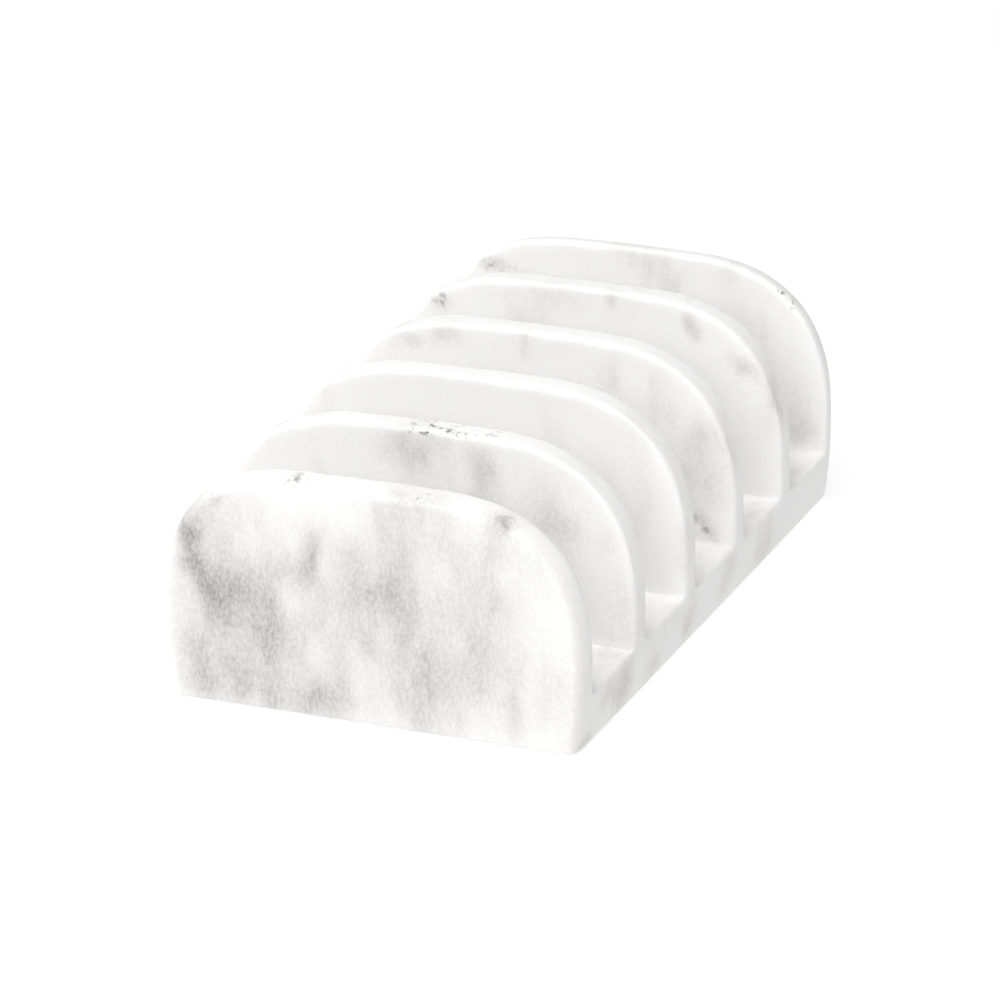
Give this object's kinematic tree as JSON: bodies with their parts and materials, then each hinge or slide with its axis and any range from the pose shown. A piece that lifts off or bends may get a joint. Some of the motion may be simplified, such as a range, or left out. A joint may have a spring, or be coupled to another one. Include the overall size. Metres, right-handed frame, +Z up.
{
  "type": "toast rack",
  "caption": "Table toast rack cast in marbled white stone: arched plates on a thick base hold slices upright in open slots, on anti-slip pads.",
  "frame": {"origin": "on the table, under the middle of the rack", "axes": "+X across the rack, to the right as seen from the front plate; +Y along the rack, from the front plate to the back plate; +Z up"},
  "size_m": [0.1084, 0.1756, 0.0648],
  "materials": {
    "cast_stone": "matte, fine-grained white with soft grey marbling and small pits",
    "pad_silicone": "satin translucent grey"
  },
  "bodies": {
    "root": {"rack_body": "cast_stone", "pad_front_left": "pad_silicone", "pad_front_right": "pad_silicone", "pad_back_left": "pad_silicone", "pad_back_right": "pad_silicone"}
  },
  "joints": []
}
